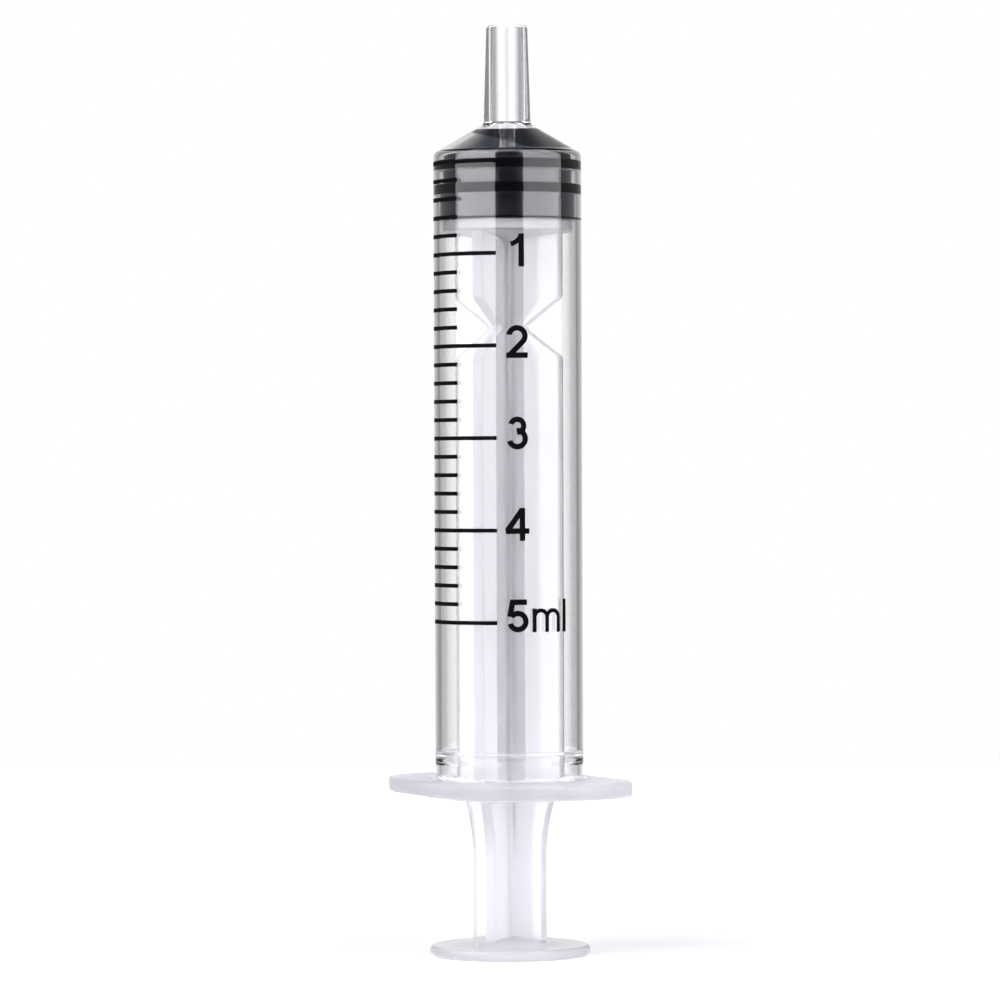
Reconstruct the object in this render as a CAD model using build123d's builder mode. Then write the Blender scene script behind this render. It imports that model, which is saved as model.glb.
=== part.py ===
from build123d import *

import os
from math import cos, degrees, pi, radians, sin, sqrt, tan

# A 5 ml oral syringe stored with its plunger pushed home. It stands on its thumb disc: the origin is
# the centre of the disc's underside and +Z runs up the axis to the nozzle. The wings lie along X.
# Millimetres and degrees. Angles about the axis count from +X towards +Y.

# Barrel
bore_r = 6.2
wall = 0.51
mouth_flare = 0.3  # the bore opens by this much at the mouth
mouth_flare_height = 0.7
ring_height = 0.2  # rounded stop ring inside the mouth, which keeps the gasket in
ring_width = 1.3
ring_above_mouth = 2.7
shoulder_angle = 30  # cone between the tube and the nozzle, from the horizontal
shoulder_wall = 0.45
shoulder_corner_r = 0.68
shoulder_inside_r = 0.3

# Nozzle
nozzle_base_r = 2.13
nozzle_tip_r = 1.86
nozzle_length = 8.93
nozzle_bore_r = 1.11
nozzle_root_fillet = 0.48
nozzle_tip_round = 0.33
nozzle_mouth_chamfer = 0.12

# Finger flange: a disc cut to two flats, with rounded corners
flange_r = 12.54
flange_across_flats = 17.14
flange_corner_r = 5.0
flange_thickness = 1.4
flange_edge_round = 0.34
flange_root_fillet = 0.39

# Printed scale
labels = ("1", "2", "3", "4", "5ml")
steps_per_ml = 5
line_width = 0.36
long_line = 8.8  # lengths along the tube's surface
short_line = 4.84
lines_start = -109
label_gap = 0.88  # a long line's end to the figures, along the tube's surface
figure_height = 2.95
figure_width = 1.94
small_letter_height = 2.13
stroke = 0.5
letter_stroke = 0.36
letter_gap = 0.38
figure_drop = 1.03  # the middle figure's foot is this far below its line
figure_creep = 0.1  # and the figures stand this much closer together than their lines
ink_thickness = 0.04

# Lengths along the axis
thumb_gap = 14.62  # disc's underside to flange's underside, plunger home
reserve = 15.68  # flange's underside to the last line
shoulder_rise = 1.0  # zero line to the shoulder's corner

# Gasket
seal_clearance = 0.02
rib_rise = 0.33  # the front rib's edge stands this far past the zero line
rib_height = 0.95
groove_height = 1.21
groove_depth = 0.37
skirt_height = 2.13
skirt_depth = 0.1
lip_height = 0.19
rib_round = 0.14
lip_round = 0.04
nose_step = 0.44
nose_gap = 0.1
nose_flat_r = 2.7

# Plunger rod
disc_r = 7.26
disc_thickness = 0.97
disc_edge_round = 0.39
boss_r = 5.8
boss_height = 0.82
web_thickness = 1.06
web_turn = 35  # where the first web points as stored; the rod swivels freely
ring_gap = 0.63  # webs pass the stop ring with this much to spare
grip_half_width = 3.58
grip_height = 8.7
flare_r = 17
notch_below_plate = 8.7  # head plate to the centre of the waist, where the webs pinch in
notch_half_span = 2.61
notch_half_width = 1.7
notch_corner_r = 0.87
notch_waist_r = 0.35
plate_gap = 0.12  # the head plate passes the stop ring with this much to spare
plate_thickness = 0.97
plate_cone_height = 0.97
plate_edge_round = 0.2
neck_r = 1.84
neck_height = 1.35
button_r = 2.8
button_height = 1.55
button_chamfer = 0.43
socket_clearance = 0.05

# Stations and radii that follow from the sizes above
ml_length = 1000 / (pi * bore_r**2)
barrel_r = bore_r + wall
flange_z = thumb_gap
flange_top = flange_z + flange_thickness
zero_z = flange_z + reserve + len(labels) * ml_length
shoulder_z = zero_z + shoulder_rise
shoulder_slope = tan(radians(shoulder_angle))
shoulder_drop = shoulder_wall / cos(radians(shoulder_angle))
nozzle_z = shoulder_z + (barrel_r - nozzle_base_r) * shoulder_slope
tip_z = nozzle_z + nozzle_length
ring_z = flange_z + ring_above_mouth
ring_r = bore_r - ring_height
seal_r = bore_r - seal_clearance
rib_top = zero_z + rib_rise
groove_top = rib_top - rib_height
rear_rib_top = groove_top - groove_height
skirt_top = rear_rib_top - rib_height
lip_top = skirt_top - skirt_height
gasket_rear = lip_top - lip_height
plate_top = gasket_rear - socket_clearance
plate_bottom = plate_top - plate_thickness
plate_r = ring_r - plate_gap
notch_height = plate_bottom - notch_below_plate
neck_top = plate_top + neck_height
button_top = neck_top + button_height
web_half_width = ring_r - ring_gap


def inside_cone_z(radius):
    """Height of the shoulder's inside face at a radius."""
    return shoulder_z + (barrel_r - radius) * shoulder_slope - shoulder_drop


def radial_plane(angle):
    """Upright plane through the axis, with local x outwards at an angle and local y along +Z."""
    outwards = (cos(radians(angle)), sin(radians(angle)), 0)
    return Plane(origin=(0, 0, 0), x_dir=outwards, z_dir=(outwards[1], -outwards[0], 0))


def facing_plane(angle, height):
    """Upright plane on the axis that faces outwards at an angle, for drawing a figure."""
    outwards = (cos(radians(angle)), sin(radians(angle)), 0)
    return Plane(origin=(0, 0, height), x_dir=(-outwards[1], outwards[0], 0), z_dir=outwards)


def angle_along(length):
    """Angle that a length along the tube's outside takes up."""
    return degrees(length / barrel_r)


def off_axis(point):
    """Distance of a point from the syringe's axis."""
    return sqrt(point.X**2 + point.Y**2)


# Barrel: tube, shoulder and nozzle turned as one wall, then the flange
with BuildPart() as barrel:
    with BuildSketch(Plane.XZ) as wall_section:
        with BuildLine():
            Polyline(
                (bore_r + mouth_flare, flange_z),
                (barrel_r, flange_z),
                (barrel_r, shoulder_z),
                (nozzle_base_r, nozzle_z),
                (nozzle_tip_r, tip_z),
                (nozzle_bore_r, tip_z),
                (nozzle_bore_r, inside_cone_z(nozzle_bore_r)),
                (bore_r, inside_cone_z(bore_r)),
                (bore_r, ring_z + ring_width),
            )
            ThreePointArc((bore_r, ring_z + ring_width), (ring_r, ring_z + ring_width / 2), (bore_r, ring_z))
            Polyline(
                (bore_r, ring_z),
                (bore_r, flange_z + mouth_flare_height),
                (bore_r + mouth_flare, flange_z),
            )
        make_face()
        corners = wall_section.vertices()
        fillet(corners.sort_by_distance((barrel_r, shoulder_z))[0], shoulder_corner_r)
        fillet(corners.sort_by_distance((nozzle_base_r, nozzle_z))[0], nozzle_root_fillet)
        fillet(corners.sort_by_distance((nozzle_tip_r, tip_z))[0], nozzle_tip_round)
        fillet(corners.sort_by_distance((bore_r, inside_cone_z(bore_r)))[0], shoulder_inside_r)
        chamfer(corners.sort_by_distance((nozzle_bore_r, tip_z))[0], nozzle_mouth_chamfer)
    revolve(axis=Axis.Z)
    with BuildSketch(Plane.XY.offset(flange_z)) as flange_outline:
        Circle(flange_r)
        Rectangle(2 * flange_r, flange_across_flats, mode=Mode.INTERSECT)
        fillet(flange_outline.vertices(), flange_corner_r)
        Circle(barrel_r - wall / 2, mode=Mode.SUBTRACT)
    extrude(amount=flange_thickness)
    level_edges = barrel.edges().filter_by(Plane.XY).filter_by_position(Axis.Z, flange_z, flange_top)
    rim = level_edges.filter_by(lambda edge: off_axis(edge @ 0.5) > (barrel_r + flange_across_flats / 2) / 2)
    fillet(rim, flange_edge_round)
    root = barrel.edges().filter_by(GeomType.CIRCLE).sort_by_distance((barrel_r, 0, flange_top))[0]
    fillet(root, flange_root_fillet)
barrel.part.label = "barrel"

# Scale lines: one ink strip for every fifth of a millilitre, long at each whole one
with BuildPart() as graduation_lines:
    for step in range(len(labels) * steps_per_ml + 1):
        line_z = zero_z - step * ml_length / steps_per_ml
        line_length = short_line if step % steps_per_ml else long_line
        with BuildSketch(radial_plane(lines_start)):
            with Locations((barrel_r + ink_thickness / 2, line_z)):
                Rectangle(ink_thickness, line_width)
        revolve(axis=Axis.Z, revolution_arc=angle_along(line_length))
graduation_lines.part.label = "graduation_lines"


# Flat drawings of the figures, each centred on its own width and standing on its foot
with BuildSketch() as figure_one:
    stem_x = 0.41
    with BuildLine():
        Line((stem_x, 0), (stem_x, figure_height))
    trace(line_width=stroke)
    with BuildLine():
        ThreePointArc(
            (stem_x, figure_height - 0.12),
            (stem_x - 0.37, figure_height - 0.64),
            (stem_x - 0.95, figure_height - 0.94),
        )
    trace(line_width=0.9 * stroke)

with BuildSketch() as figure_two:
    bowl_r = (figure_width - stroke) / 2
    with BuildLine():
        bowl = CenterArc((0, figure_height - figure_width / 2), bowl_r, 172, -218)
        Line(bowl @ 1, (-bowl_r + 0.05, stroke / 2))
    trace(line_width=stroke)
    with BuildLine():
        Line((-figure_width / 2, stroke / 2), (figure_width / 2, stroke / 2))
    trace(line_width=stroke)

with BuildSketch() as figure_three:
    upper_r = 0.58
    lower_r = 0.72
    with BuildLine():
        CenterArc((0, figure_height - stroke / 2 - upper_r), upper_r, 165, -255)
    trace(line_width=stroke)
    with BuildLine():
        CenterArc((0, stroke / 2 + lower_r), lower_r, 95, -260)
    trace(line_width=stroke)

with BuildSketch() as figure_four:
    stem_x = 0.43
    bar_z = 0.88
    bar_half = figure_width / 2 + 0.1
    with BuildLine():
        Line((stem_x, 0), (stem_x, figure_height))
    trace(line_width=stroke)
    with BuildLine():
        Line((-bar_half, bar_z), (bar_half, bar_z))
    trace(line_width=stroke)
    with BuildLine():
        Line((0.12 - bar_half, bar_z), (stem_x, figure_height - 0.12))
    trace(line_width=stroke)

with BuildSketch() as figure_five:
    bowl_r = (figure_width - stroke) / 2
    bar_z = figure_height - stroke / 2
    with BuildLine():
        Polyline((0.82, bar_z), (-0.48, bar_z), (-0.72, 1.4))
    trace(line_width=stroke)
    with BuildLine():
        CenterArc((0, stroke / 2 + bowl_r), bowl_r, 145, -310)
    trace(line_width=stroke)

with BuildSketch() as letter_m:
    arch_r = 0.62
    spring_z = small_letter_height - letter_stroke / 2 - arch_r
    with BuildLine():
        Line((-2 * arch_r, 0), (-2 * arch_r, small_letter_height))
    trace(line_width=letter_stroke)
    for centre in (-arch_r, arch_r):
        with BuildLine():
            arch = CenterArc((centre, spring_z), arch_r, 180, -180)
            Line(arch @ 1, (centre + arch_r, 0))
        trace(line_width=letter_stroke)

with BuildSketch() as letter_l:
    with BuildLine():
        Line((0, 0), (0, figure_height))
    trace(line_width=letter_stroke)

glyphs = {
    "1": figure_one,
    "2": figure_two,
    "3": figure_three,
    "4": figure_four,
    "5": figure_five,
    "m": letter_m,
    "l": letter_l,
}
letter_width = {"m": 4 * arch_r + letter_stroke, "l": letter_stroke}

# Figures: each is drawn flat, pushed out through the tube and cut to the ink's thickness
labels_start = lines_start + angle_along(long_line + label_gap)
with BuildPart() as scale_figures:
    for row, label in enumerate(labels, start=1):
        creep = (row - (len(labels) + 1) / 2) * figure_creep
        foot_z = zero_z - row * ml_length - figure_drop + creep
        angle = labels_start
        for letter in label:
            half_width = angle_along(letter_width.get(letter, figure_width)) / 2
            with BuildSketch(facing_plane(angle + half_width, foot_z)):
                add(glyphs[letter].sketch)
            extrude(amount=barrel_r + 1)
            angle += 2 * half_width + angle_along(letter_gap)
    with BuildSketch(Plane.XY.offset(flange_top)):
        Circle(barrel_r + ink_thickness)
        Circle(barrel_r, mode=Mode.SUBTRACT)
    extrude(amount=shoulder_z - flange_top, mode=Mode.INTERSECT)
scale_figures.part.label = "scale_figures"

# Gasket: two sealing ribs, a thin rear lip and a cone that matches the shoulder, round a blind socket
nose_r = seal_r - nose_step
with BuildPart() as gasket:
    with BuildSketch(Plane.XZ) as gasket_section:
        with BuildLine():
            Polyline(
                (neck_r + socket_clearance, gasket_rear),
                (seal_r, gasket_rear),
                (seal_r, lip_top),
                (seal_r - skirt_depth, lip_top),
                (seal_r - skirt_depth, skirt_top),
                (seal_r, skirt_top),
                (seal_r, rear_rib_top),
                (seal_r - groove_depth, rear_rib_top),
                (seal_r - groove_depth, groove_top),
                (seal_r, groove_top),
                (seal_r, rib_top),
                (nose_r, rib_top),
                (nose_r, inside_cone_z(nose_r) - nose_gap),
                (nose_flat_r, inside_cone_z(nose_flat_r) - nose_gap),
                (0, inside_cone_z(nose_flat_r) - nose_gap),
                (0, button_top + socket_clearance),
                (button_r + socket_clearance, button_top + socket_clearance),
                (button_r + socket_clearance, neck_top - socket_clearance),
                (neck_r + socket_clearance, neck_top - socket_clearance),
                close=True,
            )
        make_face()
        outside = gasket_section.vertices().filter_by(lambda point: point.X > seal_r - groove_depth - 0.01)
        fillet(outside.filter_by(lambda point: point.Y < skirt_top + 0.01), lip_round)
        fillet(outside.filter_by(lambda point: point.Y > skirt_top + 0.01), rib_round)
        nose_edge = (nose_flat_r, inside_cone_z(nose_flat_r) - nose_gap)
        fillet(gasket_section.vertices().sort_by_distance(nose_edge)[0], rib_round)
    revolve(axis=Axis.Z)
gasket.part.label = "gasket"

# Plunger rod: two crossed webs, a thumb disc below and a head with a button above
flare_rise = sqrt(flare_r**2 - (flare_r - (web_half_width - grip_half_width)) ** 2)
with BuildPart() as plunger_rod:
    for turn in (web_turn, web_turn + 90):
        with BuildSketch(radial_plane(turn)) as web:
            with BuildLine():
                lower = Polyline(
                    (0, disc_thickness / 2),
                    (grip_half_width, disc_thickness / 2),
                    (grip_half_width, grip_height),
                )
                flare = RadiusArc(lower @ 1, (web_half_width, grip_height + flare_rise), flare_r)
                Polyline(
                    flare @ 1,
                    (web_half_width, notch_height - notch_half_span),
                    (notch_half_width, notch_height),
                    (web_half_width, notch_height + notch_half_span),
                    (web_half_width, plate_bottom),
                    (0, plate_bottom),
                )
                mirror(about=Plane.YZ)
            make_face()
            for side in (-1, 1):
                waist = (side * notch_half_width, notch_height)
                fillet(web.vertices().sort_by_distance(waist)[0], notch_waist_r)
                for level in (-notch_half_span, notch_half_span):
                    corner = (side * web_half_width, notch_height + level)
                    fillet(web.vertices().sort_by_distance(corner)[0], notch_corner_r)
        extrude(amount=web_thickness / 2, both=True)
    with BuildSketch(Plane.XZ) as turned_section:
        with BuildLine():
            Polyline(
                (0, 0),
                (disc_r, 0),
                (disc_r, disc_thickness),
                (boss_r, disc_thickness),
            )
            ThreePointArc(
                (boss_r, disc_thickness),
                (boss_r / 2, disc_thickness + boss_height * 0.75),
                (0, disc_thickness + boss_height),
            )
            Line((0, disc_thickness + boss_height), (0, 0))
        make_face()
        rim_points = turned_section.vertices().filter_by(lambda point: point.X > disc_r - 0.01)
        fillet(rim_points, disc_edge_round)
    revolve(axis=Axis.Z)
    with BuildSketch(Plane.XZ) as head_section:
        with BuildLine():
            Polyline(
                (0, plate_bottom - plate_cone_height),
                (web_thickness, plate_bottom - plate_cone_height),
                (plate_r, plate_bottom),
                (plate_r, plate_top),
                (neck_r, plate_top),
                (neck_r, neck_top),
                (button_r, neck_top),
                (button_r, button_top),
                (0, button_top),
                close=True,
            )
        make_face()
        plate_points = head_section.vertices().filter_by(lambda point: point.X > plate_r - 0.01)
        fillet(plate_points, plate_edge_round)
        chamfer(head_section.vertices().sort_by_distance((button_r, button_top))[0], button_chamfer)
    revolve(axis=Axis.Z)
plunger_rod.part.label = "plunger_rod"

os.makedirs("parts", exist_ok=True)
export_step(barrel.part, "parts/barrel.step")
export_step(graduation_lines.part, "parts/graduation_lines.step")
export_step(scale_figures.part, "parts/scale_figures.step")
export_step(gasket.part, "parts/gasket.step")
export_step(plunger_rod.part, "parts/plunger_rod.step")
print("height", round(tip_z, 2), "travel", round(gasket_rear - ring_z - ring_width, 2))
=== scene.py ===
"""Looks of a 5 ml oral syringe: clear barrel, black gasket, milky plunger rod and printed scale."""

import logging
import math
from dataclasses import dataclass, field
from enum import Enum
from typing import Any, Sequence

import bmesh
import bpy
from mathutils import Matrix, Vector


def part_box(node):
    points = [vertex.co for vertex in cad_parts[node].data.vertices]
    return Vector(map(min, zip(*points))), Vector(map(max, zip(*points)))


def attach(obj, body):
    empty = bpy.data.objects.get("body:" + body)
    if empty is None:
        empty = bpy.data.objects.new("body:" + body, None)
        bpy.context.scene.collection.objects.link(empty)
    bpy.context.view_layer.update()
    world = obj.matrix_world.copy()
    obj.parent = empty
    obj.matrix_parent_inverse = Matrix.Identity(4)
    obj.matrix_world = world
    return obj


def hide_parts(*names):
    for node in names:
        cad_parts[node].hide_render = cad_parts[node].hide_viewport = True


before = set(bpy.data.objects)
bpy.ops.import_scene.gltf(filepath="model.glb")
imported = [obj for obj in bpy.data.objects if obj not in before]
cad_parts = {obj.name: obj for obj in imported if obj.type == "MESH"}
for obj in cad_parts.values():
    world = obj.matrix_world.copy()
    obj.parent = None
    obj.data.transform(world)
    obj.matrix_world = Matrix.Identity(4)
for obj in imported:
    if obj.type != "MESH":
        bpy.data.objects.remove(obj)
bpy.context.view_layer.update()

MM = 0.001
FULL_TURN = 2 * math.pi
log = logging.getLogger("oral_syringe")


class Body(Enum):
    """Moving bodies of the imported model."""

    BARREL = "barrel"
    GASKET = "gasket"
    PLUNGER = "plunger"


class Slot(Enum):
    """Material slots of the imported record."""

    CLEAR_PLASTIC = "clear_plastic"
    MILKY_PLASTIC = "milky_plastic"
    BLACK_RUBBER = "black_rubber"
    INK = "ink"


class Pattern(Enum):
    """Coordinates that a finish can be laid out in."""

    OBJECT = "Object"
    GENERATED = "Generated"


# --------------------------------------------------------------------------------------------------
# Shader maths
# --------------------------------------------------------------------------------------------------


class Value:
    """A number that runs through a node tree. Python's operators add Math nodes to it."""

    def __init__(self, nodes: "NodeTree", socket: bpy.types.NodeSocket) -> None:
        """Wraps an output socket.

        Args:
            nodes: The tree that the socket belongs to.
            socket: The output socket.
        """
        self.nodes = nodes
        self.socket = socket

    def _math(self, operation: str, *operands: Any, clamp: bool = False) -> "Value":
        """Adds one Math node.

        Args:
            operation: Blender's name for the operation.
            operands: Its inputs, as wrapped sockets or numbers.
            clamp: Whether the result is held between 0 and 1.

        Returns:
            The node's output.
        """
        settings = {"operation": operation, "use_clamp": clamp}
        return self.nodes.add("ShaderNodeMath", settings, dict(enumerate(operands)))

    def __add__(self, other: Any) -> "Value":
        """Sum."""
        return self._math("ADD", self, other)

    def __radd__(self, other: Any) -> "Value":
        """Sum, with the number first."""
        return self._math("ADD", other, self)

    def __sub__(self, other: Any) -> "Value":
        """Difference."""
        return self._math("SUBTRACT", self, other)

    def __rsub__(self, other: Any) -> "Value":
        """Difference, with the number first."""
        return self._math("SUBTRACT", other, self)

    def __mul__(self, other: Any) -> "Value":
        """Product."""
        return self._math("MULTIPLY", self, other)

    def __rmul__(self, other: Any) -> "Value":
        """Product, with the number first."""
        return self._math("MULTIPLY", other, self)

    def __truediv__(self, other: Any) -> "Value":
        """Quotient."""
        return self._math("DIVIDE", self, other)

    def clamped(self) -> "Value":
        """The value held between 0 and 1."""
        return self._math("ADD", self, 0.0, clamp=True)

    def smooth(self, low: float, high: float) -> "Value":
        """A soft step.

        Args:
            low: Where the step starts, at 0.
            high: Where it ends, at 1.

        Returns:
            The step's height.
        """
        settings = {"interpolation_type": "SMOOTHSTEP", "clamp": True}
        inputs = {"Value": self, "From Min": low, "From Max": high, "To Min": 0.0, "To Max": 1.0}
        return self.nodes.add("ShaderNodeMapRange", settings, inputs)


class NodeTree:
    """Adds nodes to a material or a world."""

    def __init__(self, owner: bpy.types.ID) -> None:
        """Empties the owner's tree.

        Args:
            owner: The material or the world.
        """
        owner.use_nodes = True
        self.tree = owner.node_tree
        self.tree.nodes.clear()

    def add(
        self, kind: str, settings: dict[str, Any], inputs: dict[Any, Any], output: int | str = 0
    ) -> Value:
        """Adds one node.

        Args:
            kind: Blender's node type.
            settings: The node's own settings, set before its sockets.
            inputs: Socket name or number to a value or a link.
            output: Name or number of the socket to return.

        Returns:
            The chosen output.
        """
        node = self.tree.nodes.new(kind)
        for name, value in settings.items():
            if name == "stops":
                self._set_stops(node.color_ramp, value)
            else:
                setattr(node, name, value)
        for name, value in inputs.items():
            socket = node.inputs[name]
            if isinstance(value, Value):
                self.tree.links.new(value.socket, socket)
            else:
                socket.default_value = value
        return Value(self, node.outputs[output]) if len(node.outputs) else Value(self, None)

    @staticmethod
    def _set_stops(ramp: bpy.types.ColorRamp, stops: Sequence[tuple[float, tuple]]) -> None:
        """Fills a colour ramp.

        Args:
            ramp: The ramp.
            stops: Pairs of position and colour, from left to right.
        """
        while len(ramp.elements) < len(stops):
            ramp.elements.new(0.5)
        for element, (place, colour) in zip(ramp.elements, stops):
            element.position = place
            element.color = colour

    def coordinates(self, pattern: Pattern = Pattern.OBJECT) -> Value:
        """Where the shaded point lies, in metres on the piece."""
        return self.add("ShaderNodeTexCoord", {}, {}, pattern.value)

    def turned(self, place: Value) -> tuple[Value, Value]:
        """Distance from the syringe's axis and height, in metres.

        Args:
            place: The coordinates.

        Returns:
            The distance and the height.
        """
        split = self.add("ShaderNodeSeparateXYZ", {}, {0: place})
        x, y, z = (Value(self, split.socket.node.outputs[axis]) for axis in "XYZ")
        return self.root(x * x + y * y), z

    def root(self, value: Value) -> Value:
        """Square root."""
        return self.add("ShaderNodeMath", {"operation": "SQRT"}, {0: value})

    def dot(self, first: Value, second: Value | Sequence[float]) -> Value:
        """Scalar product of two vectors."""
        settings = {"operation": "DOT_PRODUCT"}
        return self.add("ShaderNodeVectorMath", settings, {0: first, 1: second}, "Value")

    def noise(
        self, place: Value, size_mm: float, detail: float = 2.0, stretch: float = 1.0
    ) -> Value:
        """Soft noise.

        Args:
            place: The coordinates.
            size_mm: How large one blotch is.
            detail: How many finer layers are added.
            stretch: How many times longer a blotch is along the syringe.

        Returns:
            The noise, from 0 to 1.
        """
        across = 1 / (size_mm * MM)
        scale = (across, across, across / stretch)
        settings = {"vector_type": "POINT"}
        laid = self.add("ShaderNodeMapping", settings, {"Vector": place, "Scale": scale})
        inputs = {"Vector": laid, "Scale": 1.0, "Detail": detail, "Roughness": 0.5}
        return self.add("ShaderNodeTexNoise", {"noise_dimensions": "3D"}, inputs)

    def blend(self, share: Value, first: Value | tuple, second: Value | tuple) -> Value:
        """Mixes two colours.

        Args:
            share: How much of the second shows, from 0 to 1.
            first: One colour.
            second: The other.

        Returns:
            The mixed colour.
        """
        settings = {"data_type": "RGBA", "blend_type": "MIX"}
        return self.add("ShaderNodeMix", settings, {0: share, 6: first, 7: second}, 2)

    def bump(self, height: Value, depth_mm: float, strength: float = 1.0) -> Value:
        """Turns a height into a normal.

        Args:
            height: The height, from 0 to 1.
            depth_mm: What a height of 1 stands for.
            strength: How much of it shows.

        Returns:
            The normal.
        """
        inputs = {"Height": height, "Distance": depth_mm * MM, "Strength": strength}
        return self.add("ShaderNodeBump", {}, inputs)

    def surface(self, shader: Value) -> None:
        """Ends a material with its shader."""
        self.add("ShaderNodeOutputMaterial", {}, {"Surface": shader})


# --------------------------------------------------------------------------------------------------
# Finishes
# --------------------------------------------------------------------------------------------------


@dataclass(frozen=True)
class ClearPlastic:
    """Clear polypropylene with faint flow ripples, which turns milky in the thick flange."""

    tint: tuple = (1.0, 0.998, 1.0, 1.0)
    haze_tint: tuple = (0.992, 0.988, 0.996, 1.0)
    milk: tuple = (0.82, 0.808, 0.845, 1.0)
    index: float = 1.49
    roughness: float = 0.015
    flange_roughness: float = 0.3
    ripple_mm: float = 2.4
    ripple_depth_mm: float = 0.0012
    ripple_stretch: float = 9.0
    speck_mm: float = 0.35
    speck_roughness: float = 0.03
    cloud_mm: float = 1.3
    cloud_share: float = 0.2
    milk_share: float = 0.42
    wing_from_mm: float = 6.71
    wing_full_mm: float = 7.61
    wing_top_mm: float = 16.22
    wing_end_mm: float = 17.02

    def build(self) -> bpy.types.Material:
        """Makes the material."""
        material = bpy.data.materials.new("clear polypropylene")
        nodes = NodeTree(material)
        place = nodes.coordinates()
        radius, height = nodes.turned(place)
        wing = radius.smooth(self.wing_from_mm * MM, self.wing_full_mm * MM)
        wing = wing * (1 - height.smooth(self.wing_top_mm * MM, self.wing_end_mm * MM))
        ripples = nodes.noise(place, self.ripple_mm, 2.0, stretch=self.ripple_stretch)
        specks = nodes.noise(place, self.speck_mm, 3.0).smooth(0.45, 0.9)
        normal = nodes.bump(ripples, self.ripple_depth_mm)
        clouds = nodes.noise(place, self.cloud_mm, 3.0)
        inputs = {
            "Base Color": nodes.blend(ripples, self.tint, self.haze_tint),
            "Roughness": specks * self.speck_roughness
            + self.roughness
            + wing * self.flange_roughness,
            "IOR": self.index,
            "Transmission Weight": 1.0,
            "Normal": normal,
        }
        clear = nodes.add("ShaderNodeBsdfPrincipled", {}, inputs)
        milk = nodes.add("ShaderNodeBsdfTranslucent", {}, {"Color": self.milk, "Normal": normal})
        share = wing * (clouds * self.cloud_share + self.milk_share)
        nodes.surface(nodes.add("ShaderNodeMixShader", {}, {0: share, 1: clear, 2: milk}))
        return material


@dataclass(frozen=True)
class MilkyPlastic:
    """Natural polypropylene: translucent, with a lavender-white body."""

    body: tuple = (0.925, 0.918, 0.94, 1.0)
    bright_body: tuple = (0.96, 0.953, 0.97, 1.0)
    index: float = 1.49
    roughness: float = 0.16
    cloud_roughness: float = 0.08
    clear_share: float = 0.8
    glow_share: float = 0.12
    cloud_mm: float = 3.0
    grain_mm: float = 0.12
    grain_depth_mm: float = 0.002

    def build(self) -> bpy.types.Material:
        """Makes the material."""
        material = bpy.data.materials.new("natural polypropylene")
        nodes = NodeTree(material)
        place = nodes.coordinates()
        clouds = nodes.noise(place, self.cloud_mm, 3.0, stretch=3.0)
        grain = nodes.noise(place, self.grain_mm, 2.0)
        colour = nodes.blend(clouds, self.body, self.bright_body)
        normal = nodes.bump(grain, self.grain_depth_mm)
        inputs = {
            "Base Color": colour,
            "Roughness": clouds.smooth(0.3, 0.8) * self.cloud_roughness + self.roughness,
            "IOR": self.index,
            "Transmission Weight": self.clear_share,
            "Normal": normal,
        }
        shell = nodes.add("ShaderNodeBsdfPrincipled", {}, inputs)
        glow = nodes.add("ShaderNodeBsdfTranslucent", {}, {"Color": colour, "Normal": normal})
        nodes.surface(nodes.add("ShaderNodeMixShader", {}, {0: self.glow_share, 1: shell, 2: glow}))
        return material


@dataclass(frozen=True)
class BlackRubber:
    """Smooth black rubber, which has no gloss where it is squeezed against the barrel.

    The nose touches the shoulder where a point's product with lean passes the contact height.
    """

    colour: tuple = (0.003, 0.003, 0.004, 1.0)
    dusty: tuple = (0.01, 0.01, 0.013, 1.0)
    squeezed: tuple = (0.002, 0.002, 0.003, 1.0)
    sheen: tuple = (0.86, 0.89, 1.0, 1.0)
    roughness: float = 0.17
    smear_mm: float = 1.6
    smear_roughness: float = 0.1
    bore_r_mm: float = 6.2
    rib_blur_mm: float = 0.02
    lean: tuple = (0.13, 0.279, 1.0)
    contact_height_mm: float = 73.29
    contact_blur_mm: float = 0.15
    grain_mm: float = 0.15
    grain_depth_mm: float = 0.0015

    def build(self) -> bpy.types.Material:
        """Makes the material."""
        material = bpy.data.materials.new("black rubber")
        nodes = NodeTree(material)
        place = nodes.coordinates()
        grain = nodes.noise(place, self.grain_mm, 3.0)
        smears = nodes.noise(place, self.smear_mm, 3.0)
        inputs = {
            "Base Color": nodes.blend(smears.smooth(0.5, 0.8), self.colour, self.dusty),
            "Roughness": smears.smooth(0.35, 0.75) * self.smear_roughness + self.roughness,
            "Specular Tint": self.sheen,
            "Normal": nodes.bump(grain, self.grain_depth_mm),
        }
        loose = nodes.add("ShaderNodeBsdfPrincipled", {}, inputs)
        pressed = nodes.add("ShaderNodeBsdfDiffuse", {}, {"Color": self.squeezed})
        radius, _ = nodes.turned(place)
        rib = radius.smooth((self.bore_r_mm - self.rib_blur_mm) * MM, self.bore_r_mm * MM)
        blur = self.contact_blur_mm
        nose = nodes.dot(place, self.lean).smooth(
            (self.contact_height_mm - blur) * MM, (self.contact_height_mm + blur) * MM
        )
        contact = (rib + nose).clamped()
        nodes.surface(nodes.add("ShaderNodeMixShader", {}, {0: contact, 1: loose, 2: pressed}))
        return material


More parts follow.
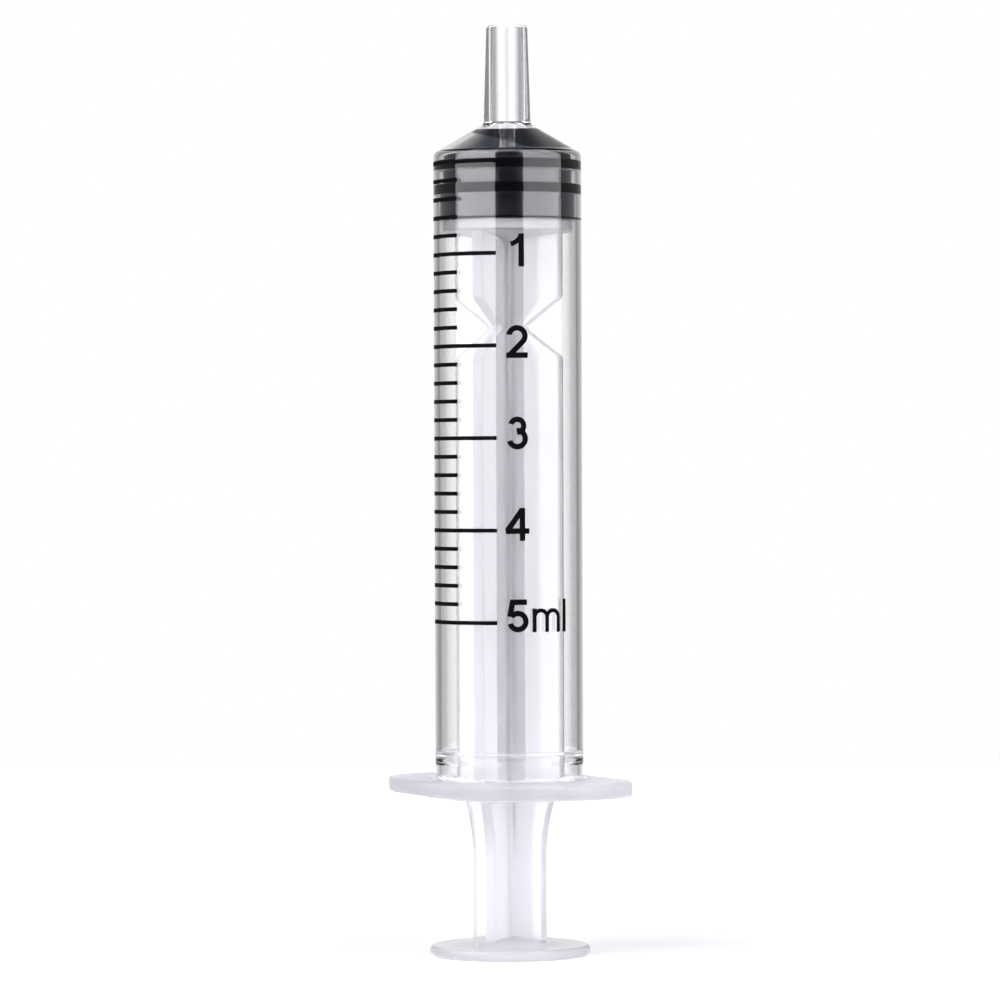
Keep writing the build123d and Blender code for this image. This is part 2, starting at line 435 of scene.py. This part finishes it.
@dataclass(frozen=True)
class ScaleInk:
    """Black ink, printed a little unevenly."""

    colour: tuple = (0.002, 0.002, 0.002, 1.0)
    thin: tuple = (0.006, 0.006, 0.007, 1.0)
    roughness: float = 0.5
    gloss: float = 0.02
    mottle_mm: float = 0.2
    mottle_roughness: float = 0.15
    mottle_depth_mm: float = 0.002

    def build(self) -> bpy.types.Material:
        """Makes the material."""
        material = bpy.data.materials.new("scale ink")
        nodes = NodeTree(material)
        mottle = nodes.noise(nodes.coordinates(), self.mottle_mm, 3.0)
        inputs = {
            "Base Color": nodes.blend(mottle.smooth(0.5, 0.8), self.colour, self.thin),
            "Roughness": mottle * self.mottle_roughness + self.roughness,
            "Specular IOR Level": self.gloss,
            "Normal": nodes.bump(mottle, self.mottle_depth_mm),
        }
        nodes.surface(nodes.add("ShaderNodeBsdfPrincipled", {}, inputs))
        return material


@dataclass(frozen=True)
class FloorPaintAndGlow:
    """Plain white floor with a painted glow: it emits light, faintly next to the syringe and more
    further out, so it is bright enough to run into the backdrop.
    """

    colour: tuple = (0.9, 0.9, 0.9, 1.0)
    speckled: tuple = (0.87, 0.87, 0.88, 1.0)
    # Painted glow: the light the floor emits next to the syringe and further out.
    near_painted_glow: tuple = (0.07, 0.07, 0.06, 1.0)
    far_painted_glow: tuple = (0.3, 0.3, 0.28, 1.0)
    painted_glow_start_r: float = 0.01
    painted_glow_full_r: float = 0.16
    speckle_mm: float = 1.5
    roughness: float = 0.85
    speckle_roughness: float = 0.1

    def build(self) -> bpy.types.Material:
        """Makes the material."""
        material = bpy.data.materials.new("floor paint and painted glow")
        nodes = NodeTree(material)
        place = nodes.coordinates()
        radius, _ = nodes.turned(place)
        speckle = nodes.noise(place, self.speckle_mm, 3.0)
        inputs = {
            "Base Color": nodes.blend(speckle.smooth(0.4, 0.8), self.colour, self.speckled),
            "Roughness": speckle * self.speckle_roughness + self.roughness,
            # Painted glow: the floor emits light, weak next to the syringe and full further out, so
            # it runs to white while the cast shadow next to the syringe stays.
            "Emission Color": nodes.blend(
                radius.smooth(self.painted_glow_start_r, self.painted_glow_full_r), self.near_painted_glow, self.far_painted_glow
            ),
            "Emission Strength": 1.0,
        }
        nodes.surface(nodes.add("ShaderNodeBsdfPrincipled", {}, inputs))
        return material


# --------------------------------------------------------------------------------------------------
# Mesh tools
# --------------------------------------------------------------------------------------------------


@dataclass(frozen=True)
class Corner:
    """One corner of a turned outline.

    radius and height are in millimetres; rounding is the corner's own radius.
    """

    radius: float
    height: float
    rounding: float = 0.0


ARC_STEP = math.radians(8)


def round_corners(corners: Sequence[Corner], closed: bool) -> list[Vector]:
    """Turns corners with a rounding into a smooth outline.

    Args:
        corners: The corners in order.
        closed: Whether the last corner joins the first.

    Returns:
        The outline's points, in metres, in the XZ plane.
    """
    outline: list[Vector] = []
    count = len(corners)
    for index, corner in enumerate(corners):
        here = Vector((corner.radius, corner.height))
        inner = closed or 0 < index < count - 1
        if corner.rounding <= 0 or not inner:
            outline.append(here)
            continue
        before, after = corners[index - 1], corners[(index + 1) % count]
        back = (Vector((before.radius, before.height)) - here).normalized()
        ahead = (Vector((after.radius, after.height)) - here).normalized()
        half = back.angle(ahead) / 2
        centre = here + (back + ahead).normalized() * (corner.rounding / math.sin(half))
        start = here + back * (corner.rounding / math.tan(half)) - centre
        turn = math.pi - 2 * half
        turn = turn if back.x * ahead.y - back.y * ahead.x < 0 else -turn
        steps = max(2, math.ceil(abs(turn) / ARC_STEP))
        for step in range(steps + 1):
            outline.append(centre + Matrix.Rotation(turn * step / steps, 2) @ start)
    return [Vector((point.x * MM, 0.0, point.y * MM)) for point in outline]


def turn_outline(outline: Sequence[Vector], closed: bool, steps: int) -> bmesh.types.BMesh:
    """Turns an outline about the syringe's axis.

    Args:
        outline: Points in the XZ plane, in metres.
        closed: Whether the last point joins the first.
        steps: How many flat strips go round.

    Returns:
        The closed shell, with its faces outwards.
    """
    shell = bmesh.new()
    points = [shell.verts.new(point) for point in outline]
    pairs = list(zip(points, points[1:]))
    if closed:
        pairs.append((points[-1], points[0]))
    edges = [shell.edges.new(pair) for pair in pairs]
    bmesh.ops.spin(
        shell,
        geom=points + edges,
        cent=(0, 0, 0),
        axis=(0, 0, 1),
        angle=FULL_TURN,
        steps=steps,
        use_merge=True,
        use_normal_flip=False,
        use_duplicate=False,
    )
    bmesh.ops.remove_doubles(shell, verts=shell.verts, dist=0.0002 * MM)
    bmesh.ops.recalc_face_normals(shell, faces=shell.faces)
    return shell


def finish_mesh(
    shell: bmesh.types.BMesh, name: str, sharp_degrees: float = 40.0
) -> bpy.types.Object:
    """Makes an object of a bmesh, smooth except at its sharp edges.

    Args:
        shell: The bmesh, which is freed.
        name: The piece's name.
        sharp_degrees: Edges that turn by more than this stay sharp.

    Returns:
        The new object, at the origin.
    """
    for face in shell.faces:
        face.smooth = True
    for edge in shell.edges:
        edge.smooth = edge.calc_face_angle(0.0) < math.radians(sharp_degrees)
    mesh = bpy.data.meshes.new(name)
    shell.to_mesh(mesh)
    shell.free()
    piece = bpy.data.objects.new(name, mesh)
    bpy.context.scene.collection.objects.link(piece)
    return piece


def unite(shells: Sequence[bmesh.types.BMesh]) -> bmesh.types.BMesh:
    """Merges overlapping closed shells into one.

    Args:
        shells: The shells, which are freed.

    Returns:
        One closed shell, with its faces outwards.
    """
    pieces = [finish_mesh(shell, f"part {index}") for index, shell in enumerate(shells)]
    for other in pieces[1:]:
        modifier = pieces[0].modifiers.new("union", "BOOLEAN")
        modifier.operation, modifier.solver, modifier.object = "UNION", "EXACT", other
    merged = bmesh.new()
    merged.from_object(pieces[0], bpy.context.evaluated_depsgraph_get())
    for piece in pieces:
        mesh = piece.data
        bpy.data.objects.remove(piece)
        bpy.data.meshes.remove(mesh)
    bmesh.ops.remove_doubles(merged, verts=merged.verts, dist=0.0005 * MM)
    bmesh.ops.recalc_face_normals(merged, faces=merged.faces)
    return merged


def even_normals(piece: bpy.types.Object) -> None:
    """Keeps long flat faces flat where they meet small roundings."""
    modifier = piece.modifiers.new("flat faces stay flat", "WEIGHTED_NORMAL")
    modifier.mode = "FACE_AREA"
    modifier.weight = 50
    modifier.keep_sharp = True


def dress(piece: bpy.types.Object, material: bpy.types.Material) -> None:
    """Gives a piece its only material."""
    piece.data.materials.clear()
    piece.data.materials.append(material)


def report(piece: bpy.types.Object) -> None:
    """Logs what was built."""
    log.info("%s: %d faces", piece.name, len(piece.data.polygons))


# --------------------------------------------------------------------------------------------------
# Sub-assemblies. Lengths are in millimetres. Heights run from the thumb disc's underside.
# --------------------------------------------------------------------------------------------------


@dataclass
class Barrel:
    """Clear moulding: tube, shoulder, nozzle and finger flange."""

    bore_r: float = 6.2
    wall: float = 0.51
    mouth_flare: float = 0.3
    mouth_flare_height: float = 0.7
    mouth_round: float = 0.12
    mouth_flare_round: float = 0.3
    ring_height: float = 0.2
    ring_flank: float = 0.3
    ring_round: float = 0.2
    ring_width: float = 1.3
    ring_above_mouth: float = 2.7
    shoulder_slope: float = math.tan(math.radians(30))
    shoulder_drop: float = 0.45 / math.cos(math.radians(30))
    shoulder_corner_r: float = 0.68
    shoulder_inside_r: float = 0.3
    nozzle_base_r: float = 2.13
    nozzle_tip_r: float = 1.86
    nozzle_length: float = 8.93
    nozzle_bore_r: float = 1.11
    nozzle_root_fillet: float = 0.48
    nozzle_tip_round: float = 0.33
    nozzle_mouth_round: float = 0.12
    nozzle_inside_r: float = 0.15
    flange_r: float = 12.54
    flange_half_width: float = 8.57
    flange_corner_r: float = 5.0
    flange_thickness: float = 1.4
    flange_edge_round: float = 0.34
    flange_root_fillet: float = 0.39
    strips: int = 256
    low: float = field(init=False)
    high: float = field(init=False)

    def __post_init__(self) -> None:
        """Reads where the CAD barrel starts and ends."""
        lowest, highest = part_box("barrel")
        self.low, self.high = lowest.z / MM, highest.z / MM

    @property
    def tube_r(self) -> float:
        """Outside radius of the tube."""
        return self.bore_r + self.wall

    @property
    def nozzle_z(self) -> float:
        """Height of the nozzle's root."""
        return self.high - self.nozzle_length

    @property
    def shoulder_z(self) -> float:
        """Height of the shoulder's outside corner."""
        return self.nozzle_z - (self.tube_r - self.nozzle_base_r) * self.shoulder_slope

    def inside_cone_z(self, radius: float) -> float:
        """Height of the shoulder's inside face at a radius."""
        return self.shoulder_z + (self.tube_r - radius) * self.shoulder_slope - self.shoulder_drop

    def flange_reach(self, angle: float) -> float:
        """How far the flange reaches from the axis.

        Args:
            angle: Direction from the wings' line, in radians.

        Returns:
            The reach, in millimetres.
        """
        across, along = abs(math.sin(angle)), abs(math.cos(angle))
        arc_r = self.flange_r - self.flange_corner_r
        centre_y = self.flange_half_width - self.flange_corner_r
        centre_x = math.sqrt(arc_r**2 - centre_y**2)
        direction = math.atan2(across, along)
        if direction <= math.atan2(centre_y, centre_x):
            return self.flange_r
        if direction >= math.atan2(self.flange_half_width, centre_x):
            return self.flange_half_width / across
        near = centre_x * along + centre_y * across
        aside = centre_x**2 + centre_y**2 - near**2
        return near + math.sqrt(self.flange_corner_r**2 - aside)

    def corners(self) -> list[Corner]:
        """The wall's section, from the mouth round the outside and back down the bore."""
        top = self.low + self.flange_thickness
        ring, ring_r = self.low + self.ring_above_mouth, self.bore_r - self.ring_height
        return [
            Corner(self.bore_r + self.mouth_flare, self.low, self.mouth_round),
            Corner(self.flange_r, self.low, self.flange_edge_round),
            Corner(self.flange_r, top, self.flange_edge_round),
            Corner(self.tube_r, top, self.flange_root_fillet),
            Corner(self.tube_r, self.shoulder_z, self.shoulder_corner_r),
            Corner(self.nozzle_base_r, self.nozzle_z, self.nozzle_root_fillet),
            Corner(self.nozzle_tip_r, self.high, self.nozzle_tip_round),
            Corner(self.nozzle_bore_r, self.high, self.nozzle_mouth_round),
            Corner(
                self.nozzle_bore_r,
                self.inside_cone_z(self.nozzle_bore_r),
                self.nozzle_inside_r,
            ),
            Corner(self.bore_r, self.inside_cone_z(self.bore_r), self.shoulder_inside_r),
            Corner(self.bore_r, ring + self.ring_width, self.ring_round),
            Corner(ring_r, ring + self.ring_width - self.ring_flank, self.ring_round),
            Corner(ring_r, ring + 2 * self.ring_flank, 2 * self.ring_round),
            Corner(self.bore_r, ring, 2 * self.ring_round),
            Corner(self.bore_r, self.low + self.mouth_flare_height, self.mouth_flare_round),
        ]

    def build(self) -> bpy.types.Object:
        """Makes the barrel in one closed shell.

        Returns:
            The piece, riding its body.
        """
        shell = turn_outline(round_corners(self.corners(), closed=True), True, self.strips)
        edge = self.flange_r - 2 * self.flange_edge_round
        for vertex in shell.verts:
            reach = math.hypot(vertex.co.x, vertex.co.y)
            if reach > edge * MM:
                angle = math.atan2(vertex.co.y, vertex.co.x)
                wanted = reach + (self.flange_reach(angle) - self.flange_r) * MM
                vertex.co.x *= wanted / reach
                vertex.co.y *= wanted / reach
        piece = finish_mesh(shell, "barrel_moulding")
        even_normals(piece)
        dress(piece, ClearPlastic().build())
        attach(piece, Body.BARREL.value)
        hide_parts("barrel")
        report(piece)
        return piece


@dataclass
class PrintedScale:
    """Black ink: the graduation lines and the figures."""

    nodes: tuple = ("graduation_lines", "scale_figures")

    def build(self) -> None:
        """Dresses the printed strips and figures."""
        ink = ScaleInk().build()
        for name in self.nodes:
            dress(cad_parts[name], ink)
            report(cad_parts[name])


@dataclass
class Gasket:
    """Black rubber moulding with two sealing ribs and a thin rear lip."""

    barrel: Barrel
    squeeze: float = 0.02
    rib_height: float = 0.95
    groove_height: float = 1.21
    groove_depth: float = 0.39
    skirt_height: float = 2.13
    skirt_depth: float = 0.12
    lip_height: float = 0.19
    rib_round: float = 0.14
    lip_round: float = 0.05
    nose_step: float = 0.46
    nose_flat_r: float = 2.7
    nose_lean: float = 0.05
    socket_r: float = 1.89
    socket_depth: float = 0.6
    socket_floor_round: float = 0.1
    socket_mouth_round: float = 0.08
    strips: int = 192
    low: float = field(init=False)

    def __post_init__(self) -> None:
        """Reads where the CAD gasket starts."""
        self.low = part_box("gasket")[0].z / MM

    def corners(self) -> list[Corner]:
        """The rubber's section, from the socket's mouth round the outside to the nose."""
        seal_r = self.barrel.bore_r + self.squeeze
        skirt_r = seal_r - self.skirt_depth
        groove_r = seal_r - self.groove_depth
        nose_r = seal_r - self.nose_step
        lip_top = self.low + self.lip_height
        skirt_top = lip_top + self.skirt_height
        groove_low = skirt_top + self.rib_height
        groove_top = groove_low + self.groove_height
        rib_top = groove_top + self.rib_height
        press = self.barrel.inside_cone_z(0)
        slope = self.barrel.shoulder_slope
        nose_edge = press - nose_r * slope
        nose_top = press - self.nose_flat_r * slope
        return [
            Corner(0, self.low + self.socket_depth),
            Corner(self.socket_r, self.low + self.socket_depth, self.socket_floor_round),
            Corner(self.socket_r, self.low, self.socket_mouth_round),
            Corner(seal_r, self.low, self.lip_round),
            Corner(seal_r, lip_top, self.lip_round),
            Corner(skirt_r, lip_top, self.lip_round),
            Corner(skirt_r, skirt_top, self.lip_round),
            Corner(seal_r, skirt_top, self.lip_round),
            Corner(seal_r, groove_low, self.rib_round),
            Corner(groove_r, groove_low, self.rib_round),
            Corner(groove_r, groove_top, self.rib_round),
            Corner(seal_r, groove_top, self.rib_round),
            Corner(seal_r, rib_top, self.rib_round),
            Corner(nose_r, rib_top, self.rib_round),
            Corner(nose_r, nose_edge, self.rib_round),
            Corner(self.nose_flat_r, nose_top, self.rib_round),
            Corner(0, nose_top),
        ]

    def build(self) -> bpy.types.Object:
        """Makes the gasket.

        Returns:
            The piece, riding its body.
        """
        shell = turn_outline(round_corners(self.corners(), closed=False), False, self.strips)
        rubber = BlackRubber()
        cone_foot = self.barrel.inside_cone_z(self.barrel.bore_r) * MM
        for point in shell.verts:
            if point.co.z > cone_foot:
                above = point.co.dot(Vector(rubber.lean)) - rubber.contact_height_mm * MM
                point.co.z += self.nose_lean * above
        piece = finish_mesh(shell, "rubber_gasket")
        even_normals(piece)
        dress(piece, rubber.build())
        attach(piece, Body.GASKET.value)
        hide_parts("gasket")
        report(piece)
        return piece


@dataclass
class PlungerRod:
    """Milky moulding: crossed webs with a pinched waist, the thumb disc and the head."""

    gasket: Gasket
    web_turn: float = math.radians(35)
    web_thickness: float = 1.06
    web_edge_round: float = 0.13
    web_root_round: float = 0.22
    grip_half_width: float = 3.58
    grip_height: float = 8.7
    flare_r: float = 17.0
    flare_steps: int = 10
    web_half_width: float = 5.37
    notch_below_plate: float = 8.7
    notch_half_span: float = 2.61
    notch_half_width: float = 1.7
    notch_corner_r: float = 0.87
    notch_waist_r: float = 0.35
    disc_r: float = 7.26
    disc_thickness: float = 0.97
    disc_edge_round: float = 0.39
    boss_r: float = 5.8
    boss_height: float = 0.82
    plate_r: float = 5.88
    plate_gap: float = 0.05
    plate_thickness: float = 0.97
    plate_cone_height: float = 0.97
    plate_edge_round: float = 0.2
    neck_r: float = 1.84
    neck_depth: float = 0.55
    dome_shares: tuple = (1.0, 0.85, 0.7, 0.55, 0.4, 0.25, 0.1)
    sharp_degrees: float = 28.0
    strips: int = 128

    @property
    def plate_bottom(self) -> float:
        """Height of the head plate's underside."""
        return self.gasket.low - self.plate_gap - self.plate_thickness

    def levels(self) -> list[Vector]:
        """How far the webs reach at each height, from the disc to the head plate."""
        spread = self.web_half_width - self.grip_half_width
        rise = math.sqrt(self.flare_r**2 - (self.flare_r - spread) ** 2)
        waist = self.plate_bottom - self.notch_below_plate
        flare = []
        for step in range(self.flare_steps + 1):
            up = rise * step / self.flare_steps
            out = self.flare_r - math.sqrt(self.flare_r**2 - up**2)
            flare.append(Corner(self.grip_half_width + out, self.grip_height + up))
        corners = [
            Corner(self.grip_half_width, self.disc_thickness / 2),
            *flare,
            Corner(self.web_half_width, waist - self.notch_half_span, self.notch_corner_r),
            Corner(self.notch_half_width, waist, self.notch_waist_r),
            Corner(self.web_half_width, waist + self.notch_half_span, self.notch_corner_r),
            Corner(self.web_half_width, self.plate_bottom + self.plate_thickness / 2),
        ]
        return round_corners(corners, closed=False)

    def section(self) -> list[Vector]:
        """The crossed webs cut level, with their edges rounded and their roots filled."""
        half, reach = self.web_thickness / 2, self.grip_half_width
        corners = []
        for arm in range(4):
            turn = Matrix.Rotation(arm * math.pi / 2, 2)
            for along, aside, rounding in (
                (reach, -half, self.web_edge_round),
                (reach, half, self.web_edge_round),
                (half, half, self.web_root_round),
            ):
                spot = turn @ Vector((along, aside))
                corners.append(Corner(spot.x, spot.y, rounding))
        return [Vector((point.x, point.z, 0.0)) for point in round_corners(corners, closed=True)]

    def webs(self) -> bmesh.types.BMesh:
        """Makes the crossed webs, drawn up level by level."""
        levels = self.levels()
        shell = bmesh.new()
        points = [shell.verts.new(point) for point in self.section()]
        edges = [shell.edges.new(pair) for pair in zip(points, points[1:] + points[:1])]
        for point in points:
            point.co.z = levels[0].z
        for before, after in zip(levels, levels[1:]):
            grown = bmesh.ops.extrude_edge_only(shell, edges=edges)["geom"]
            rims = [part for part in grown if isinstance(part, bmesh.types.BMEdge)]
            edges = [rim for rim in rims if rim.is_boundary]
            for point in (part for part in grown if isinstance(part, bmesh.types.BMVert)):
                axis = 0 if abs(point.co.x) > abs(point.co.y) else 1
                if abs(point.co[axis]) > self.web_thickness * MM:
                    point.co[axis] += math.copysign(1, point.co[axis]) * (after.x - before.x)
                point.co.z = after.z
        open_edges = [edge for edge in shell.edges if edge.is_boundary]
        bmesh.ops.holes_fill(shell, edges=open_edges, sides=0)
        bmesh.ops.rotate(
            shell, cent=(0, 0, 0), matrix=Matrix.Rotation(self.web_turn, 3, "Z"), verts=shell.verts
        )
        bmesh.ops.recalc_face_normals(shell, faces=shell.faces)
        return shell

    def disc(self) -> bmesh.types.BMesh:
        """Makes the thumb disc with its low dome."""
        dome_r = (self.boss_r**2 + self.boss_height**2) / (2 * self.boss_height)
        centre = self.disc_thickness + self.boss_height - dome_r
        dome = [
            Corner(self.boss_r * share, centre + math.sqrt(dome_r**2 - (self.boss_r * share) ** 2))
            for share in self.dome_shares
        ]
        corners = [
            Corner(0, 0),
            Corner(self.disc_r, 0, self.disc_edge_round),
            Corner(self.disc_r, self.disc_thickness, self.disc_edge_round),
            *dome,
            Corner(0, self.disc_thickness + self.boss_height),
        ]
        return turn_outline(round_corners(corners, closed=False), False, self.strips)

    def head(self) -> bmesh.types.BMesh:
        """Makes the head plate, its cone and the neck that enters the rubber."""
        top = self.plate_bottom + self.plate_thickness
        corners = [
            Corner(0, self.plate_bottom - self.plate_cone_height),
            Corner(self.web_thickness, self.plate_bottom - self.plate_cone_height),
            Corner(self.plate_r, self.plate_bottom, self.plate_edge_round),
            Corner(self.plate_r, top, self.plate_edge_round),
            Corner(self.neck_r, top),
            Corner(self.neck_r, top + self.neck_depth),
            Corner(0, top + self.neck_depth),
        ]
        return turn_outline(round_corners(corners, closed=False), False, self.strips)

    def build(self) -> bpy.types.Object:
        """Makes the rod.

        Returns:
            The piece, riding its body.
        """
        shell = unite([self.webs(), self.disc(), self.head()])
        piece = finish_mesh(shell, "milky_rod", self.sharp_degrees)
        even_normals(piece)
        dress(piece, MilkyPlastic().build())
        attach(piece, Body.PLUNGER.value)
        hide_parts("plunger_rod")
        report(piece)
        return piece


# --------------------------------------------------------------------------------------------------
# Studio
# --------------------------------------------------------------------------------------------------


@dataclass
class Studio:
    """White floor and backdrop, softboxes and the camera.

    side_boxes gives each side's name, the degrees from the camera it spans, and its brightness.
    fall_off gives the backdrop's brightness by degrees from straight behind the syringe, and zenith
    its colour overhead. All lengths here are in metres but the lens and the sensor, in millimetres.
    """

    view_turn: float = 65.0
    distance: float = 0.456
    eye_height: float = 0.044
    lens: float = 180.9
    sensor: float = 36.0
    roll: float = 0.215
    drop: float = 0.00272
    aside: float = 0.00077
    floor_r: float = 0.3
    side_boxes: tuple = (("left", -88, -19, 3.75), ("right", 25, 92, 3.1))
    side_reach: float = 0.6
    side_height: float = 1.7
    side_centre: float = 0.42
    top_rise: float = math.radians(64)
    top_reach: float = 0.75
    top_size: float = 0.42
    top_light: float = 1.1
    cast: tuple = (0.965, 0.96, 1.0)
    zenith: tuple = (0.155, 0.175, 0.225)
    fall_off: tuple = (
        (0, 1.0),
        (7, 1.0),
        (11, 0.66),
        (20, 0.52),
        (36, 0.27),
        (150, 0.27),
        (163, 0.06),
        (180, 0.06),
    )
    bounces: int = 24

    @property
    def towards_camera(self) -> Vector:
        """Level direction from the syringe to the camera."""
        turn = math.radians(self.view_turn)
        return Vector((math.sin(turn), -math.cos(turn), 0.0))

    def build_camera(self) -> None:
        """Makes the camera."""
        data = bpy.data.cameras.new("camera")
        data.lens = self.lens
        data.sensor_width = self.sensor
        data.clip_start, data.clip_end = 0.01, 10.0
        camera = bpy.data.objects.new("camera", data)
        bpy.context.scene.collection.objects.link(camera)
        place = self.towards_camera * self.distance + Vector((0, 0, self.eye_height))
        sideways = Vector((0, 0, 1)).cross(self.towards_camera)
        target = Vector((0, 0, self.eye_height - self.drop)) - sideways * self.aside
        look = (target - place).to_track_quat("-Z", "Y").to_matrix().to_4x4()
        camera.matrix_world = (
            Matrix.Translation(place) @ look @ Matrix.Rotation(math.radians(-self.roll), 4, "Z")
        )
        bpy.context.scene.camera = camera

    def build_world(self) -> None:
        """Makes the room: a white backdrop falling off to grey, a dim ceiling, a dark front."""
        world = bpy.data.worlds.new("room")
        bpy.context.scene.world = world
        nodes = NodeTree(world)
        away = -self.towards_camera
        direction = nodes.coordinates(Pattern.GENERATED)
        flatten = {"operation": "MULTIPLY"}
        level = nodes.add("ShaderNodeVectorMath", flatten, {0: direction, 1: (1, 1, 0)})
        unit = nodes.add("ShaderNodeVectorMath", {"operation": "NORMALIZE"}, {0: level})
        facing = nodes.dot(unit, away)
        arccosine = nodes.add("ShaderNodeMath", {"operation": "ARCCOSINE"}, {0: facing})
        turned = arccosine * math.degrees(1)
        stops = [(place / 180, (light, light, light, 1)) for place, light in self.fall_off]
        ramp = nodes.add("ShaderNodeValToRGB", {"stops": stops}, {0: turned / 180})
        eye = nodes.add("ShaderNodeLightPath", {}, {}, "Is Camera Ray")
        tinted = {"data_type": "RGBA", "blend_type": "MULTIPLY"}
        aside = 1 - facing.smooth(0.9, 0.99)
        cast = nodes.add("ShaderNodeMix", tinted, {0: aside, 6: ramp, 7: (*self.cast, 1)}, 2)
        rise = nodes.add("ShaderNodeSeparateXYZ", {}, {0: direction}, "Z")
        domed = nodes.blend(rise.smooth(0.62, 0.8), cast, (*self.zenith, 1))
        shown = nodes.blend(eye, domed, (1, 1, 1, 1))
        background = nodes.add("ShaderNodeBackground", {}, {"Color": shown, "Strength": 1.0})
        nodes.add("ShaderNodeOutputWorld", {}, {"Surface": background})

    def build_floor(self) -> None:
        """Makes the floor."""
        disc = bmesh.new()
        bmesh.ops.create_circle(disc, cap_ends=True, segments=96, radius=self.floor_r)
        bmesh.ops.translate(disc, vec=(0, 0, -0.02 * MM), verts=disc.verts)
        floor = finish_mesh(disc, "floor")
        dress(floor, FloorPaintAndGlow().build())

    def softbox(self, name: str, centre: Vector, facing: Vector, size: tuple, light: float) -> None:
        """Makes one softbox.

        Args:
            name: What it is called.
            centre: Its middle.
            facing: From what it lights towards it.
            size: Its width and height, in metres.
            light: How bright its face is, next to a white of 1.
        """
        data = bpy.data.lights.new(f"softbox {name}", "AREA")
        data.shape = "RECTANGLE"
        data.size, data.size_y = size
        data.energy = light * math.pi * data.size * data.size_y
        data.color = self.cast
        lamp = bpy.data.objects.new(f"softbox {name}", data)
        bpy.context.scene.collection.objects.link(lamp)
        turn = facing.to_track_quat("Z", "Y").to_matrix().to_4x4()
        lamp.matrix_world = Matrix.Translation(centre) @ turn
        lamp.visible_camera = False

    def build_softboxes(self) -> None:
        """Makes a tall softbox to each side of the camera and a small one above it."""
        for name, first, last, light in self.side_boxes:
            middle, half = math.radians((first + last) / 2), math.radians((last - first) / 2)
            out = Matrix.Rotation(middle, 3, "Z") @ self.towards_camera
            centre = out * self.side_reach + Vector((0, 0, self.side_centre))
            size = (2 * self.side_reach * math.tan(half), self.side_height)
            self.softbox(name, centre, out, size, light)
        above = self.towards_camera * math.cos(self.top_rise)
        above.z = math.sin(self.top_rise)
        size = (self.top_size, self.top_size)
        self.softbox("top", above * self.top_reach, above, size, self.top_light)

    def build(self) -> None:
        """Makes the whole studio."""
        scene = bpy.context.scene
        scene.view_settings.view_transform = "Standard"
        scene.cycles.max_bounces = self.bounces
        scene.cycles.transmission_bounces = self.bounces
        self.build_camera()
        self.build_world()
        self.build_floor()
        self.build_softboxes()


def main() -> None:
    """Builds the syringe and its studio, and logs each piece's face count."""
    logging.basicConfig(level=logging.INFO, format="%(name)s: %(message)s")
    barrel = Barrel()
    barrel.build()
    PrintedScale().build()
    gasket = Gasket(barrel)
    gasket.build()
    PlungerRod(gasket).build()
    Studio().build()


if __name__ == "__main__":
    main()
